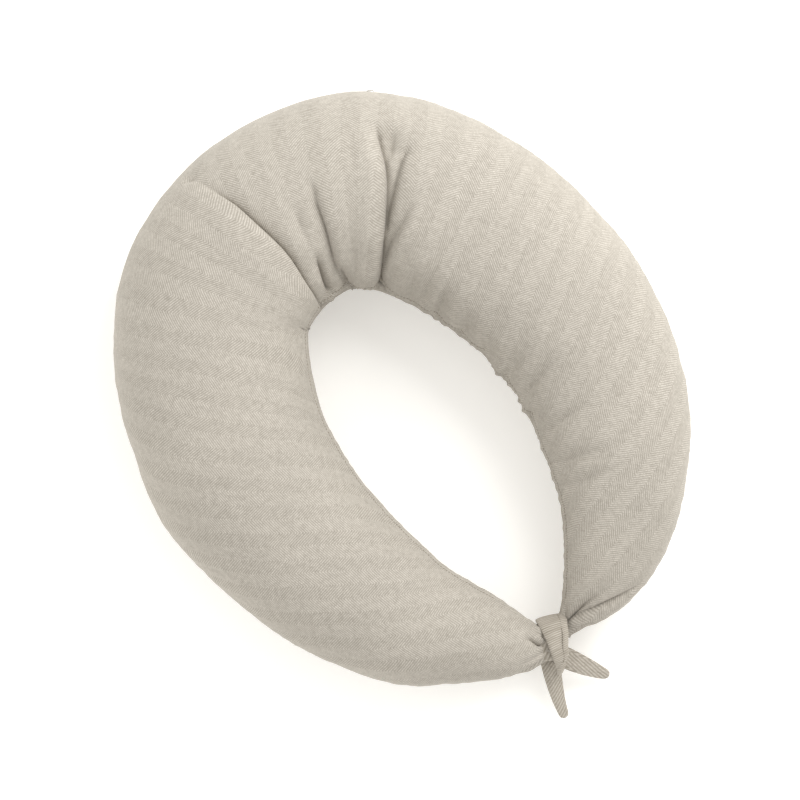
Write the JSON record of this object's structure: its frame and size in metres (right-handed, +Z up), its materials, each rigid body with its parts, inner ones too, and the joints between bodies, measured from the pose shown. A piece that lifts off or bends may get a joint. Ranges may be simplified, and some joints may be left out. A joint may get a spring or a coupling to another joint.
{
  "type": "nursing pillow",
  "caption": "Ring-shaped nursing pillow with a zipped woven cover, a filled liner and a fabric tie knotted between its horns.",
  "frame": {"origin": "middle of the base of the pillow's whole box, on the surface it lies on", "axes": "+Z up, out of the surface the pillow lies on; +Y from the knot towards the round back; +X to the right when seen from above with the knot nearest"},
  "size_m": [0.5374, 0.6738, 0.1617],
  "materials": {
    "cover_cloth": "matte",
    "liner_cloth": "matte",
    "fibre_filling": "matte",
    "zip_tape": "matte",
    "zip_nylon": "satin",
    "zip_metal": "satin",
    "label_satin": "satin"
  },
  "bodies": {
    "pillow": {"cover_upper_panel": "cover_cloth", "cover_lower_panel": "cover_cloth", "liner_upper_panel": "liner_cloth", "liner_lower_panel": "liner_cloth", "filling": "fibre_filling", "zip_tape_upper": "zip_tape", "zip_tape_lower": "zip_tape", "zip_coil_upper": "zip_nylon", "zip_coil_lower": "zip_nylon", "zip_top_stop_upper": "zip_metal", "zip_top_stop_lower": "zip_metal", "zip_bottom_stop": "zip_metal", "tie_knot": "cover_cloth", "tie_left_base": "cover_cloth", "tie_right_base": "cover_cloth"},
    "slider": {"zip_slider": "zip_metal"},
    "pull_tab": {"zip_pull_tab": "zip_metal"},
    "left_tail": {"tie_left_tail": "cover_cloth"},
    "right_tail": {"tie_right_tail": "cover_cloth"},
    "label": {"care_label": "label_satin"}
  },
  "joints": [
    {"name": "zip_slide", "type": "hinge", "parent": "pillow", "child": "slider", "pos_m": [0, 0.07511, 0.078], "axis": [0, 0, 1], "range_deg": [0, 66]},
    {"name": "tab_flip", "type": "hinge", "parent": "slider", "child": "pull_tab", "pos_m": [0.14248, 0.29451, 0.078], "axis": [0, 0, -1], "range_deg": [0, 170]},
    {"name": "left_tail_lift", "type": "hinge", "parent": "pillow", "child": "left_tail", "pos_m": [-0.024, -0.28239, 0.031], "axis": [-0.9459, 0.3243, 0], "range_deg": [0, 60]},
    {"name": "right_tail_lift", "type": "hinge", "parent": "pillow", "child": "right_tail", "pos_m": [-0.0035, -0.28789, 0.031], "axis": [-0.8412, -0.5408, 0], "range_deg": [0, 60]},
    {"name": "label_lift", "type": "hinge", "parent": "pillow", "child": "label", "pos_m": [0.26123, -0.04976, 0.07405], "axis": [-0.1461, -0.9893, 0], "range_deg": [0, 100]}
  ]
}
